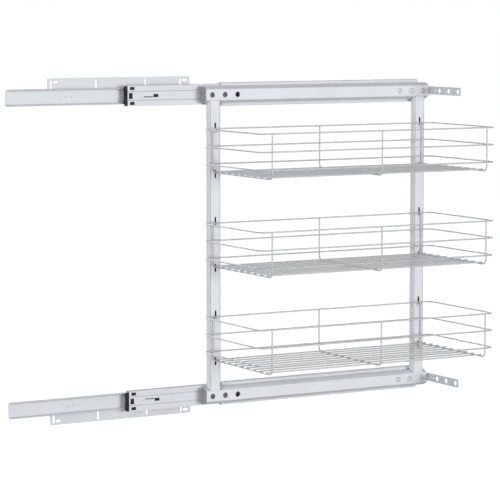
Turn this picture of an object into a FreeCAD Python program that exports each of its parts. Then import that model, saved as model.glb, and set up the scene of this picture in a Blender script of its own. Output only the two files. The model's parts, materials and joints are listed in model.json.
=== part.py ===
import FreeCAD, Part
import math
import os

# Pull-out wire basket unit for a narrow base cabinet, drawn pulled out.
# Millimetres. X is the pull-out direction, +Y points into the cabinet wall, +Z is up.
# The origin is in the wall plane, at the centre of the four level slots in the wall brackets.
# Depths are distances from the wall, so a depth d lies at y = -d.

V = FreeCAD.Vector

# Placing of the main groups
slide_spacing = 514.0
slide_z = slide_spacing / 2
travel = 391.0
cabinet_member_start = -211.0
slide_length = 400.0
frame_centre_x = 366.6
running_gap = 0.2

# Wall brackets
bracket_left = -134.5
bracket_right = 129.0
bracket_thickness = 2.0
bracket_outer_edge = 31.0
bracket_inner_edge = 11.0
bracket_corner_radius = 1.5
level_slot_spacing = 240.0
level_slot_height = 24.5
level_slot_length = 10.0
wall_slot_width = 4.5
upright_slot_places = (-128.4, -46.4, 45.6, 111.6)
upright_slot_height = 20.5
upright_slot_length = 15.0

# Balls and their grooves: the inner row runs between the cabinet and middle members,
# the outer row between the middle and frame members
ball_radius = 1.75
groove_radius = ball_radius + running_gap
slide_sheet = 1.2
groove_line = groove_radius + slide_sheet / 2
inner_row_depth = 6.8
outer_row_depth = 13.0
middle_half_height = 17.5
frame_half_height = 20.0
inner_row_height = middle_half_height - slide_sheet - groove_radius
outer_row_height = frame_half_height - slide_sheet - groove_radius
balls_per_row = 4
ball_pitch = 40.0
cage_sheet = 0.4
cage_hole_gap = 0.1
cage_strip_reach = 2.2
cage_end_margin = 20.0
inner_cage_start = 24.0
outer_cage_start = 194.0

# Cabinet member, the smallest channel
cabinet_half_height = 14.0
cabinet_corner_cut = 3.8
cabinet_lip_angle = -35.0
rivet_places = (-113.7, -82.2, 82.2, 113.7)
dimple_places = (-103.2, -92.7)
dimple_radius = 1.3
rivet_radius = 1.5
rivet_head_radius = 2.3
rivet_head_height = 0.6

# Middle member, the double-grooved channel
middle_start = 3.7
middle_length = 370.0
middle_web_front = 17.9
middle_shelf_height = 17.1
middle_shelf_start = 16.2
middle_lip_angle = 150.0
middle_groove_place = 7.45
middle_groove_half_width = 0.85
middle_groove_depth = 1.0
outer_window_size = (8.6, 5.2)
outer_window_height = 12.4
centre_window_size = (7.0, 9.7)
window_start = 4.2
centre_window_start = 2.3

# End bumper on the middle member
bumper_length = 5.6
bumper_half_height = 16.0
bumper_flange_back = 14.6
bumper_body_half_height = 13.2
bumper_back = 10.2
bumper_edge_bulge = 2.1
bumper_tongue_thickness = 1.6
clip_gap = 0.1

# Release lever in the middle member's web
lever_pivot_x = 30.5
lever_pivot_height = -0.6
lever_pivot_radius = 1.5
lever_boss_radius = 3.0
lever_head_radius = 2.5
lever_head_height = 0.6
lever_thickness = 1.4
lever_arm_half_height = 1.1
lever_slit_start = 33.9
lever_slit_end = 51.7
lever_slit_height = -2.0
lever_slit_width = 1.5
lever_window_start = 52.1
lever_window_end = 61.2
lever_window_half_height = 2.6
lever_pad_bottom = -0.7
lever_side_gap = 0.4

# Frame member, the largest channel, and the hat-section rail over it
frame_web_front = 20.0
frame_flange_height = 18.6
frame_lip_depth = 5.2
rail_end_reach = 18.0
rail_sheet = 1.5
rail_bend_radius = 0.5
rail_face_depth = 38.0
rail_face_half_height = 9.3
rail_half_height = 14.0
rail_shoulder_depth = 29.0
rail_hole_places = (12.0, 36.5, 61.0)
rail_hole_radius = 4.65
end_cap_lip = 1.5
end_cap_plug = 4.0
end_cap_gap = 0.2

# Stiles, rectangular tubes
stile_spacing = 414.0
stile_width = 22.0
stile_sheet = 1.5
stile_bend_radius = 2.0
stile_end = 7.4
notch_side_gap = 0.6
notch_flare = 3.0
notch_rise = 2.0
slot_width = 3.2
slot_height = 14.0
slot_pitch = 80.0
slot_above_rim = 3.1

# Joint plates, filler plates, screws and rivets inside the rails
joint_plate_thickness = 2.0
joint_plate_length = 62.0
joint_rivet_radius = 2.5
joint_rivet_head_radius = 3.8
joint_rivet_head_height = 1.4
screw_radius = 2.0
screw_end_gap = 0.3
screw_head_radius = 3.75
screw_head_height = 1.3
screw_socket_width = 2.5
screw_socket_depth = 0.9
filler_length = 40.0

# Door brackets
door_strip_height = 14.0
door_strip_thickness = 2.0
door_leg_length = 66.0
door_plate_gap = 3.9
door_end_margin = 8.4
door_first_hole = 64.7
door_hole_pitch = 28.5
door_hole_radius = 4.75
door_small_hole = 53.1
door_small_radius = 2.5
door_bend_radius = 1.0
door_screw_head_radius = 4.2
door_screw_head_height = 2.4
door_screw_dome = 1.5
door_screw_tip = 1.0

# Baskets
wire_radius = 1.2
weld_depth = 0.2
rim_heights = (200.0, 40.0, -120.0)
basket_names = ("top_basket", "middle_basket", "bottom_basket")
basket_shift = -1.5
basket_overhang = 24.5
basket_depth = 196.2
basket_wall_gap = 0.3
basket_corner = 12.0
rim_pitch = 29.6
rims_per_basket = 3
basket_height = 74.0
cross_wire_offset = 4.5
cross_wire_corner = 9.0
floor_wire_count = 9
floor_wire_pitch = 21.5
floor_wire_overhang = 2.5
hook_leg_front = 7.0
hook_leg_back = 10.0
hook_corner = 2.0
hook_leg_lead = 1.0

# Places worked out from the sizes above
frame_member_start = cabinet_member_start + travel
rail_left = frame_centre_x - stile_spacing / 2 - rail_end_reach
rail_right = frame_centre_x + stile_spacing / 2 + rail_end_reach
stile_front = rail_face_depth - rail_sheet
stile_back = frame_web_front + joint_plate_thickness
stile_places = (frame_centre_x - stile_spacing / 2, frame_centre_x + stile_spacing / 2)
strip_back = stile_front - door_strip_thickness
door_plate_back = rail_right + door_plate_gap
door_plate_front = door_plate_back + door_strip_thickness
door_plate_reach = door_first_hole + 2 * door_hole_pitch + door_end_margin
middle_web_back = middle_web_front - slide_sheet
middle_groove_back = middle_web_back - middle_groove_depth
basket_centre_x = frame_centre_x + basket_shift
basket_length = stile_spacing + 2 * basket_overhang
cross_wire_place = stile_spacing / 2 + cross_wire_offset
wire_step = 2 * wire_radius - weld_depth
basket_back = stile_front + basket_wall_gap + wire_radius + wire_step
basket_middle_depth = basket_back + basket_depth / 2


def point(d, z, x=0.0):
    """A point at depth d from the wall."""
    return V(x, -d, z)


def line(start, end):
    """A straight stretch of a section, between two (depth, height) pairs."""
    return Part.makeLine(point(*start), point(*end))


def on_circle(centre, radius, degrees):
    """The (depth, height) pair at an angle on a circle, counted from the front towards +Z."""
    turn = math.radians(degrees)
    return centre[0] + radius * math.cos(turn), centre[1] + radius * math.sin(turn)


def arc(centre, radius, first, last):
    """An arc of a section between two angles in degrees."""
    ends = [first, (first + last) / 2, last]
    return Part.Arc(*[point(*on_circle(centre, radius, a)) for a in ends]).toShape()


def circle_angle(height, radius):
    """The angle at which a circle reaches a height above or below its centre."""
    return math.degrees(math.asin(height / radius))


def block(x0, x1, d0, d1, z0, z1):
    """A box between two places, two depths and two heights."""
    return Part.makeBox(x1 - x0, d1 - d0, z1 - z0, V(x0, -d1, z0))


def cylinder(x, z, radius, d0, d1):
    """A round bar or hole along Y between two depths."""
    return Part.makeCylinder(radius, d1 - d0, V(x, -d1, z), V(0, 1, 0))


def slot(x, z, length, width, d0, d1, upright=False):
    """A slot cutter along Y with round ends, level or upright."""
    reach = (length - width) / 2
    ends = [(x, z - reach), (x, z + reach)] if upright else [(x - reach, z), (x + reach, z)]
    half_x = width / 2 if upright else reach
    half_z = reach if upright else width / 2
    middle = block(x - half_x, x + half_x, d0, d1, z - half_z, z + half_z)
    return middle.multiFuse([cylinder(a, b, width / 2, d0, d1) for a, b in ends])


def prism(outline, x0, x1):
    """A solid with a closed (depth, height) outline, from x0 to x1."""
    corners = [point(d, z, x0) for d, z in outline]
    face = Part.Face(Part.makePolygon(corners + corners[:1]))
    return face.extrude(V(x1 - x0, 0, 0))


def channel(upper_edges, web_points, thickness, x0, x1):
    """A channel of bent sheet: upper_edges lead from the upper lip to the first web point."""
    corners = web_points + [(d, -z) for d, z in reversed(web_points)]
    web = [line(a, b) for a, b in zip(corners, corners[1:])]
    lower = [edge.mirror(V(0, 0, 0), V(0, 0, 1)) for edge in upper_edges]
    path = Part.Wire(Part.__sortEdges__(upper_edges + web + lower))
    face = path.makeOffset2D(thickness / 2, join=2, fill=True, openResult=False)
    solid = face.extrude(V(x1 - x0, 0, 0))
    solid.translate(V(x0, 0, 0))
    return solid


def at_slide(shape):
    """Moves a shape drawn about height zero to the upper slide's height."""
    moved = shape.copy()
    moved.translate(V(0, 0, slide_z))
    return moved


def mirrored(shape):
    """The lower slide's copy of an upper piece."""
    return shape.mirror(V(0, 0, 0), V(0, 0, 1))


def wall_bracket():
    """Flat plate with level and upright slots beside the slide."""
    plate = block(bracket_left, bracket_right, 0, bracket_thickness, -bracket_inner_edge, bracket_outer_edge)
    edges = [e for e in plate.Edges if abs(e.tangentAt(0).y) > 0.9]
    plate = plate.makeFillet(bracket_corner_radius, edges)
    cuts = []
    for side in (-1, 1):
        x = side * level_slot_spacing / 2
        cuts.append(slot(x, level_slot_height, level_slot_length, wall_slot_width, -1, bracket_thickness + 1))
    for x in upright_slot_places:
        cuts.append(slot(x, upright_slot_height, upright_slot_length, wall_slot_width,
                         -1, bracket_thickness + 1, upright=True))
    cuts += [cylinder(x, 0, rivet_radius, -1, bracket_thickness + 1) for x in rivet_places]
    return plate.cut(Part.makeCompound(cuts))


def cabinet_member():
    """Smallest channel: web on the bracket, one ball groove outside each flange."""
    web = bracket_thickness + slide_sheet / 2
    flange = cabinet_half_height - slide_sheet / 2
    centre = (inner_row_depth, inner_row_height)
    start = -180 + circle_angle(inner_row_height - flange, groove_line)
    edges = [arc(centre, groove_line, cabinet_lip_angle, start),
             line(on_circle(centre, groove_line, start), (web, flange))]
    x1 = cabinet_member_start + slide_length
    solid = channel(edges, [(web, flange)], slide_sheet, cabinet_member_start, x1)
    cut = cabinet_corner_cut
    for side in (-1, 1):
        tip = side * (cabinet_half_height + 1)
        base = side * (cabinet_half_height + 1 - cut - 1)
        corners = [V(cabinet_member_start - 1, 0, tip), V(cabinet_member_start + cut, 0, tip),
                   V(cabinet_member_start - 1, 0, base)]
        wedge = Part.Face(Part.makePolygon(corners + corners[:1])).extrude(V(0, -20, 0))
        solid = solid.cut(wedge)
    holes = [cylinder(x, 0, rivet_radius, 0, web + slide_sheet) for x in rivet_places]
    holes += [cylinder(x, 0, dimple_radius, 0, web + slide_sheet) for x in dimple_places]
    return solid.cut(Part.makeCompound(holes))


def cabinet_rivets():
    """Rivets through the bracket and the cabinet member's web."""
    face = bracket_thickness + slide_sheet
    rivets = []
    for x in rivet_places:
        shank = cylinder(x, 0, rivet_radius, 0, face)
        rivets.append(shank.fuse(cylinder(x, 0, rivet_head_radius, face, face + rivet_head_height)))
    return Part.makeCompound(rivets)


def middle_web_grooves():
    """Ridges on the back of the middle member's web, and the pressed grooves in its front."""
    side_run = math.hypot(middle_groove_half_width, middle_groove_depth) - middle_groove_half_width
    crest = slide_sheet * side_run / middle_groove_depth
    base = crest + middle_groove_half_width
    x1 = middle_start + middle_length
    ridges = []
    grooves = []
    for side in (-1, 1):
        z = side * middle_groove_place
        ridge = [(middle_web_back, z - base), (middle_groove_back, z - crest),
                 (middle_groove_back, z + crest), (middle_web_back, z + base)]
        ridges.append(prism(ridge, middle_start, x1))
        groove = [(middle_web_front, z - middle_groove_half_width),
                  (middle_web_front - middle_groove_depth, z),
                  (middle_web_front, z + middle_groove_half_width)]
        grooves.append(prism(groove, middle_start, x1))
    return ridges, grooves


def middle_member():
    """Middle channel: bulges over the inner balls, dips under the outer ones, two grooves in its web."""
    inner = (inner_row_depth, inner_row_height)
    outer = (outer_row_depth, outer_row_height)
    shelf = middle_shelf_height - slide_sheet / 2
    web = middle_web_front - slide_sheet / 2
    gap = math.dist(inner, outer)
    lean = math.degrees(math.atan2(outer[1] - inner[1], outer[0] - inner[0]))
    crossing = lean + math.degrees(math.acos(2 * groove_line / gap))
    shelf_corner = (middle_shelf_start, shelf)
    reach = math.dist(outer, shelf_corner)
    rise = math.degrees(math.atan2(shelf - outer[1], middle_shelf_start - outer[0]))
    leaving = rise - math.degrees(math.acos(groove_line / reach))
    edges = [arc(inner, groove_line, middle_lip_angle, crossing),
             line(on_circle(inner, groove_line, crossing), on_circle(outer, groove_line, crossing + 180)),
             arc(outer, groove_line, crossing - 180, leaving),
             line(on_circle(outer, groove_line, leaving), shelf_corner),
             line(shelf_corner, (web, shelf))]
    solid = channel(edges, [(web, shelf)], slide_sheet, middle_start, middle_start + middle_length)
    ridges, grooves = middle_web_grooves()
    solid = solid.multiFuse(ridges).cut(Part.makeCompound(grooves))
    back = middle_web_back - 1
    front = middle_web_front + 1
    x0 = middle_start + window_start
    x1 = middle_start + centre_window_start
    wide, tall = outer_window_size
    cuts = []
    for side in (-1, 1):
        z = side * outer_window_height
        cuts.append(block(x0, x0 + wide, back, front, z - tall / 2, z + tall / 2))
    wide, tall = centre_window_size
    cuts.append(block(x1, x1 + wide, back, front, -tall / 2, tall / 2))
    cuts.append(cylinder(lever_pivot_x, lever_pivot_height, lever_pivot_radius, back, front))
    cuts.append(block(lever_slit_start, lever_slit_end, back, front,
                      lever_slit_height - lever_slit_width / 2, lever_slit_height + lever_slit_width / 2))
    cuts.append(block(lever_window_start, lever_window_end, back, front,
                      -lever_window_half_height, lever_window_half_height))
    return solid.cut(Part.makeCompound(cuts))


def end_bumper():
    """Plastic bumper at the middle member's rear end, clipped in three windows of its web."""
    x0 = middle_start - bumper_length
    top = bumper_half_height
    corners = [V(middle_start, 0, -top), V(x0, 0, -top), V(x0 + bumper_edge_bulge, 0, 0), V(x0, 0, top),
               V(middle_start, 0, top)]
    rear = Part.Arc(corners[1], corners[2], corners[3]).toShape()
    outline = [Part.makeLine(corners[0], corners[1]), rear, Part.makeLine(corners[3], corners[4]),
               Part.makeLine(corners[4], corners[0])]
    face = Part.Face(Part.Wire(outline))
    face.translate(V(0, -bumper_back, 0))
    form = face.extrude(V(0, bumper_back - middle_web_front, 0))
    body = bumper_body_half_height
    keep = [block(x0 - 1, middle_start, bumper_back, bumper_flange_back + 1, -body, body),
            block(x0 - 1, middle_start, bumper_flange_back, middle_web_front, -top, top)]
    pieces = [form.common(part) for part in keep]
    tongue_front = middle_groove_back - clip_gap
    tongue_back = tongue_front - bumper_tongue_thickness
    tongue_half = outer_window_height + clip_gap
    wide, tall = outer_window_size
    end = middle_start + window_start + wide - clip_gap
    pieces.append(block(middle_start - 1, end, tongue_back, tongue_front, -tongue_half, tongue_half))
    start = middle_start + window_start + clip_gap
    for side in (-1, 1):
        z = side * outer_window_height
        half = tall / 2 - clip_gap
        pieces.append(block(start, end, tongue_front, middle_web_front, z - half, z + half))
    wide, tall = centre_window_size
    start = middle_start + centre_window_start + clip_gap
    half = tall / 2 - clip_gap
    end = start + wide - 2 * clip_gap
    pieces.append(block(start, end, tongue_front, middle_web_front, -half, half))
    return pieces[0].multiFuse(pieces[1:]).removeSplitter()


def release_lever():
    """Lever behind the middle member's web, with a finger pad in the web's window."""
    front = middle_web_back - running_gap
    back = front - lever_thickness
    boss = cylinder(lever_pivot_x, lever_pivot_height, lever_boss_radius, back, front)
    arm = block(lever_pivot_x, lever_window_end - lever_side_gap, back, front,
                lever_slit_height - lever_arm_half_height, lever_slit_height + lever_arm_half_height)
    pad = block(lever_window_start + lever_side_gap, lever_window_end - lever_side_gap, back,
                middle_web_front, lever_pad_bottom, lever_window_half_height - running_gap)
    root = block(lever_window_start + lever_side_gap, lever_window_end - lever_side_gap, back, front,
                 lever_slit_height - lever_arm_half_height, lever_window_half_height - running_gap)
    lever = boss.multiFuse([arm, pad, root]).removeSplitter()
    return lever.cut(cylinder(lever_pivot_x, lever_pivot_height, lever_pivot_radius + running_gap,
                              back - 1, front + 1))


def lever_pivot():
    """Rivet in the middle member's web that carries the lever."""
    back = middle_web_back - running_gap - lever_thickness - running_gap
    shank = cylinder(lever_pivot_x, lever_pivot_height, lever_pivot_radius, back, middle_web_front)
    head = cylinder(lever_pivot_x, lever_pivot_height, lever_head_radius, back - lever_head_height, back)
    return shank.fuse(head)


def ball_places(start):
    """Where a cage's balls are along X."""
    return [start + cage_end_margin + i * ball_pitch for i in range(balls_per_row)]


def cage_length():
    """Length that fits a cage's balls."""
    return 2 * cage_end_margin + (balls_per_row - 1) * ball_pitch


def ball_cage(start, row_depth, row_height, strip_depth, web_depth):
    """U-shaped strip with a hole for each ball; the web joins its upper and lower flanges."""
    x1 = start + cage_length()
    solid = channel([line((strip_depth, row_height), (web_depth, row_height))],
                    [(web_depth, row_height)], cage_sheet, start, x1)
    reach = row_height + cage_sheet
    holes = []
    for x in ball_places(start):
        centre = V(x, -row_depth, -reach)
        holes.append(Part.makeCylinder(ball_radius + cage_hole_gap, 2 * reach, centre, V(0, 0, 1)))
    return solid.cut(Part.makeCompound(holes))


def inner_ball_cage():
    """Cage between the cabinet member and the middle member."""
    strip = cabinet_half_height + running_gap + cage_sheet / 2
    web_depth = cabinet_flange_front() + running_gap + cage_sheet / 2
    return ball_cage(inner_cage_start, inner_row_depth, strip, inner_row_depth - cage_strip_reach, web_depth)


def cabinet_flange_front():
    """Depth that the rounded edges of the cabinet member's flanges reach."""
    centre = (inner_row_depth, inner_row_height)
    return on_circle(centre, groove_line, cabinet_lip_angle)[0] + slide_sheet / 2


def outer_ball_cage():
    """Cage between the middle member and the frame member."""
    strip = (middle_shelf_height + frame_flange_height - slide_sheet / 2) / 2
    web_depth = (middle_web_front + frame_web_front - slide_sheet) / 2
    return ball_cage(outer_cage_start, outer_row_depth, strip, outer_row_depth - cage_strip_reach, web_depth)


def balls(start, row_depth, row_height):
    """One cage's balls, in an upper and a lower row."""
    spheres = []
    for x in ball_places(start):
        for side in (-1, 1):
            spheres.append(Part.makeSphere(ball_radius, point(row_depth, side * row_height, x)))
    return Part.makeCompound(spheres)


def frame_member():
    """Largest channel: its web carries the rail, its flanges run over the outer balls."""
    web = frame_web_front - slide_sheet / 2
    flange = frame_flange_height
    centre = (outer_row_depth, outer_row_height)
    start = circle_angle(flange - outer_row_height, groove_line)
    edges = [line((frame_lip_depth, flange), on_circle(centre, groove_line, 180 - start)),
             arc(centre, groove_line, 180 - start, start),
             line(on_circle(centre, groove_line, start), (web, flange))]
    x1 = frame_member_start + slide_length
    solid = channel(edges, [(web, flange)], slide_sheet, frame_member_start, x1)
    holes = [cylinder(x, 0, joint_rivet_radius, web - slide_sheet, web + slide_sheet)
             for x in joint_rivet_places()]
    return solid.cut(Part.makeCompound(holes))


def joint_rivet_places():
    """Where the joint plates are riveted to the frame member: at the rail's innermost holes."""
    return rail_left + rail_hole_places[-1], rail_right - rail_hole_places[-1]


def screw_places():
    """Where the joint plates take screws: at the two outer holes of each rail end."""
    places = [rail_left + place for place in rail_hole_places[:2]]
    return places + [rail_right - place for place in rail_hole_places[:2]]


def rail_outline():
    """Outer outline of the rail's hat section, from the upper to the lower rear edge."""
    upper = [(frame_web_front, rail_half_height), (rail_shoulder_depth, rail_half_height),
             (rail_face_depth, rail_face_half_height)]
    return upper + [(d, -z) for d, z in reversed(upper)]


def inset_outline(inset):
    """The hat section's outline drawn in by a distance, open at the rear."""
    run = rail_face_depth - rail_shoulder_depth
    rise = rail_half_height - rail_face_half_height
    slant = math.atan2(rise, run)
    shoulder = rail_shoulder_depth - inset * math.tan(slant / 2)
    face = rail_face_depth - inset
    corner = rail_face_half_height - inset * (1 - math.sin(slant)) / math.cos(slant)
    upper = [(frame_web_front, rail_half_height - inset), (shoulder, rail_half_height - inset),
             (face, corner)]
    return upper + [(d, -z) for d, z in reversed(upper)]


def hat_bar(outline, bend, x0, x1):
    """A bar with the hat section's outline and rounded bends."""
    bar = prism(outline, x0, x1)
    bends = []
    for edge in bar.Edges:
        middle = edge.CenterOfMass
        if abs(edge.tangentAt(edge.FirstParameter).x) > 0.9 and -middle.y > frame_web_front + 1:
            bends.append(edge)
    return bar.makeFillet(bend, bends)


def rail():
    """Hat-section rail with three access holes at each end, notched below for the stiles."""
    inner = inset_outline(rail_sheet)
    inner = [(inner[0][0] - 1, inner[0][1])] + inner[1:-1] + [(inner[-1][0] - 1, inner[-1][1])]
    solid = hat_bar(rail_outline(), rail_bend_radius + rail_sheet, rail_left, rail_right)
    solid = solid.cut(hat_bar(inner, rail_bend_radius, rail_left - 1, rail_right + 1))
    cuts = []
    for place in rail_hole_places:
        for x in (rail_left + place, rail_right - place):
            cuts.append(cylinder(x, 0, rail_hole_radius, stile_front - 1, rail_face_depth + 1))
    near = stile_width / 2 + notch_side_gap
    for x in stile_places:
        top = notch_rise - rail_face_half_height
        low = -rail_half_height - 1
        corners = [V(x - near, 0, top), V(x + near, 0, top), V(x + near + notch_flare, 0, low),
                   V(x - near - notch_flare, 0, low)]
        face = Part.Face(Part.makePolygon(corners + corners[:1]))
        face.translate(V(0, -stile_front, 0))
        cuts.append(face.extrude(V(0, rail_face_depth - frame_web_front, 0)))
    return solid.cut(Part.makeCompound(cuts))


def rail_end_cap():
    """Plastic cap on the rail's rear end, with a short plug inside it."""
    lip = hat_bar(rail_outline(), rail_bend_radius + rail_sheet, rail_left - end_cap_lip, rail_left)
    outline = inset_outline(rail_sheet + end_cap_gap)
    return lip.fuse(prism(outline, rail_left, rail_left + end_cap_plug))


def upright_bar(x, inset, bend, top):
    """The stile's outline drawn in by a distance, as an upright bar with rounded edges."""
    half = stile_width / 2 - inset
    bar = block(x - half, x + half, stile_back + inset, stile_front - inset, -top, top)
    upright = [e for e in bar.Edges if abs(e.tangentAt(e.FirstParameter).z) > 0.9]
    return bar.makeFillet(bend, upright)


def stile(x):
    """Rectangular tube with a pair of hook slots for each basket."""
    half = stile_width / 2
    top = slide_z + stile_end
    solid = upright_bar(x, 0, stile_bend_radius + stile_sheet, top)
    solid = solid.cut(upright_bar(x, stile_sheet, stile_bend_radius, top + 1))
    cuts = []
    for rim in rim_heights:
        for z in (rim + slot_above_rim, rim + slot_above_rim - slot_pitch):
            cuts.append(slot(x, z, slot_height, slot_width, stile_front - stile_sheet - 1,
                             stile_front + 1, upright=True))
    relief = slide_z - door_strip_height / 2 - running_gap
    cuts.append(block(x - half - 1, x + half + 1, strip_back, stile_front + 1, relief, top + 1))
    cuts.append(block(x - half - 1, x + half + 1, strip_back, stile_front + 1, -top - 1, -relief))
    for place in screw_places():
        if abs(place - x) < half:
            for z in (-slide_z, slide_z):
                cuts.append(cylinder(place, z, screw_radius, stile_back - 1, stile_front))
    return solid.cut(Part.makeCompound(cuts))


def joint_plates():
    """Plates between the frame member's web and the stiles' ends."""
    half = rail_half_height - rail_sheet
    outer = stile_spacing / 2 + stile_width / 2
    plates = []
    for side in (-1, 1):
        x0, x1 = sorted((frame_centre_x + side * outer, frame_centre_x + side * (outer - joint_plate_length)))
        plates.append(block(x0, x1, frame_web_front, stile_back, -half, half))
    holes = [cylinder(x, 0, joint_rivet_radius, frame_web_front - 1, stile_back + 1)
             for x in joint_rivet_places()]
    holes += [cylinder(x, 0, screw_radius, frame_web_front - 1, stile_back + 1) for x in screw_places()]
    cutter = Part.makeCompound(holes)
    return Part.makeCompound([plate.cut(cutter) for plate in plates])


def joint_rivets():
    """Rivets through the frame member's web and the joint plates."""
    rivets = []
    for x in joint_rivet_places():
        shank = cylinder(x, 0, joint_rivet_radius, frame_web_front - slide_sheet, stile_back)
        head = cylinder(x, 0, joint_rivet_head_radius, stile_back, stile_back + joint_rivet_head_height)
        rivets.append(shank.fuse(head))
    return Part.makeCompound(rivets)


def hexagon(x, width, d0, d1):
    """A hexagonal cutter along Y, width across its flats."""
    radius = width / math.sqrt(3)
    corners = [V(x + radius * math.cos(i * math.pi / 3), -d0, radius * math.sin(i * math.pi / 3))
               for i in range(6)]
    return Part.Face(Part.makePolygon(corners + corners[:1])).extrude(V(0, d0 - d1, 0))


def frame_screws():
    """Socket screws through the filler plate into the rear joint plate."""
    top = stile_front + screw_head_height
    screws = []
    for x in screw_places()[:2]:
        shank = cylinder(x, 0, screw_radius, frame_web_front + screw_end_gap, stile_front)
        head = cylinder(x, 0, screw_head_radius, stile_front, top)
        socket = hexagon(x, screw_socket_width, top - screw_socket_depth, top + 1)
        screws.append(shank.fuse(head).cut(socket))
    return Part.makeCompound(screws)


def door_bracket_screws():
    """Round-headed screws in the rail's front holes: two reach the joint plate, one the leg."""
    top = stile_front + door_screw_head_height
    tips = [frame_web_front + screw_end_gap] * 2 + [strip_back - door_screw_tip]
    screws = []
    for place, tip in zip(rail_hole_places, tips):
        x = rail_right - place
        head = cylinder(x, 0, door_screw_head_radius, stile_front, top)
        rim = [edge for edge in head.Edges if edge.Length > door_screw_head_radius * 5
               and abs(edge.CenterOfMass.y + top) < 0.01]
        head = head.makeFillet(door_screw_dome, rim)
        socket = hexagon(x, screw_socket_width, top - screw_socket_depth, top + 1)
        screws.append(head.fuse(cylinder(x, 0, screw_radius, tip, stile_front)).cut(socket))
    return Part.makeCompound(screws)


def filler_plate():
    """Strip at the rear stile, in the place that a door bracket's leg takes at the front."""
    x0 = stile_places[0] - stile_width / 2
    half = door_strip_height / 2
    plate = block(x0, x0 + filler_length, strip_back, stile_front, -half, half)
    holes = [cylinder(x, 0, screw_radius, strip_back - 1, stile_front + 1) for x in screw_places()[:2]]
    return plate.cut(Part.makeCompound(holes))


def door_bracket():
    """Perforated angle: a leg inside the rail's front end and a plate for the cabinet door."""
    half = door_strip_height / 2
    leg = block(rail_right - door_leg_length, door_plate_front, strip_back, stile_front, -half, half)
    plate = block(door_plate_back, door_plate_front, strip_back, door_plate_reach, -half, half)
    angle = leg.fuse(plate).removeSplitter()
    outside = upright_edges(angle, door_plate_front, strip_back)
    angle = angle.makeFillet(door_bend_radius + door_strip_thickness, outside)
    angle = angle.makeFillet(door_bend_radius, upright_edges(angle, door_plate_back, stile_front))
    holes = [cylinder(rail_right - place, 0, screw_radius, strip_back - 1, stile_front + 1)
             for place in rail_hole_places]
    start = door_plate_back - 1
    length = door_strip_thickness + 2
    for i in range(3):
        centre = point(door_first_hole + i * door_hole_pitch, 0, start)
        holes.append(Part.makeCylinder(door_hole_radius, length, centre, V(1, 0, 0)))
    holes.append(Part.makeCylinder(door_small_radius, length, point(door_small_hole, 0, start), V(1, 0, 0)))
    return angle.cut(Part.makeCompound(holes))


def upright_edges(shape, x, d):
    """The edges of a shape whose middles lie at x and depth d."""
    return [edge for edge in shape.Edges
            if abs(edge.CenterOfMass.x - x) < 0.01 and abs(edge.CenterOfMass.y + d) < 0.01]


def bent_path(points, bend, closed=False):
    """Edges of a wire's centre line through the points, with a tangent arc at each corner."""
    count = len(points)
    corners = range(count) if closed else range(1, count - 1)
    edges = []
    last = None if closed else points[0]
    first = None
    for i in corners:
        corner = points[i]
        before = (points[i - 1] - corner).normalize()
        after = (points[(i + 1) % count] - corner).normalize()
        half_turn = (math.pi - before.getAngle(after)) / 2
        cut = bend * math.tan(half_turn)
        start = corner + before * cut
        end = corner + after * cut
        inward = (before + after).normalize()
        middle = corner + inward * (bend / math.cos(half_turn) - bend)
        if last is not None:
            edges.append(Part.makeLine(last, start))
        else:
            first = start
        edges.append(Part.Arc(start, middle, end).toShape())
        last = end
    edges.append(Part.makeLine(last, first if closed else points[-1]))
    return edges


def wire_along(edges):
    """Round wire swept along a path."""
    path = Part.Wire(Part.__sortEdges__(edges))
    start = path.Edges[0]
    tangent = start.tangentAt(start.FirstParameter)
    profile = Part.Wire(Part.makeCircle(wire_radius, start.valueAt(start.FirstParameter), tangent))
    return path.makePipeShell([profile], True, False)


def straight_wire(start, end):
    """Straight length of round wire."""
    return Part.makeCylinder(wire_radius, (end - start).Length, start, end - start)


def basket_rims(rim):
    """Closed rectangular wires, one above the other."""
    half = basket_length / 2
    front = basket_back + basket_depth
    solids = []
    for i in range(rims_per_basket):
        z = rim - i * rim_pitch
        points = [point(basket_back, z, basket_centre_x - half), point(front, z, basket_centre_x - half),
                  point(front, z, basket_centre_x + half), point(basket_back, z, basket_centre_x + half)]
        solids.append(wire_along(bent_path(points, basket_corner, closed=True)))
    return Part.makeCompound(solids)


def cross_wires(rim):
    """U-shaped wires welded outside the rims, one near each end and one at the middle."""
    back = basket_back - wire_step
    front = basket_back + basket_depth + wire_step
    bottom = rim - basket_height
    solids = []
    for place in (-cross_wire_place, 0, cross_wire_place):
        x = basket_centre_x + place
        points = [point(back, rim, x), point(back, bottom, x), point(front, bottom, x), point(front, rim, x)]
        solids.append(wire_along(bent_path(points, cross_wire_corner)))
    return Part.makeCompound(solids)


def floor_wires(rim):
    """Long wires that lie on the cross wires."""
    z = rim - basket_height + wire_step
    reach = cross_wire_place + floor_wire_overhang
    first = basket_middle_depth - (floor_wire_count - 1) / 2 * floor_wire_pitch
    solids = []
    for i in range(floor_wire_count):
        d = first + i * floor_wire_pitch
        start = point(d, z, basket_centre_x - reach)
        solids.append(straight_wire(start, point(d, z, basket_centre_x + reach)))
    return Part.makeCompound(solids)


def hooks(rim):
    """Formed wires under the back rim that hang in the stiles' slots."""
    inside = stile_front - stile_sheet - basket_wall_gap - wire_radius
    front = basket_back + hook_leg_lead
    crossing = rim - wire_step
    solids = []
    for x in stile_places:
        points = [point(front, rim - hook_leg_front, x), point(front, crossing, x),
                  point(inside, crossing, x), point(inside, rim - hook_leg_back, x)]
        solids.append(wire_along(bent_path(points, hook_corner)))
    return Part.makeCompound(solids)


def save(name, shape):
    """Writes one node and prints its solids and volume."""
    shape.exportStep("parts/" + name + ".step")
    print(name, len(shape.Solids), round(shape.Volume, 1), shape.isValid())


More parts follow.
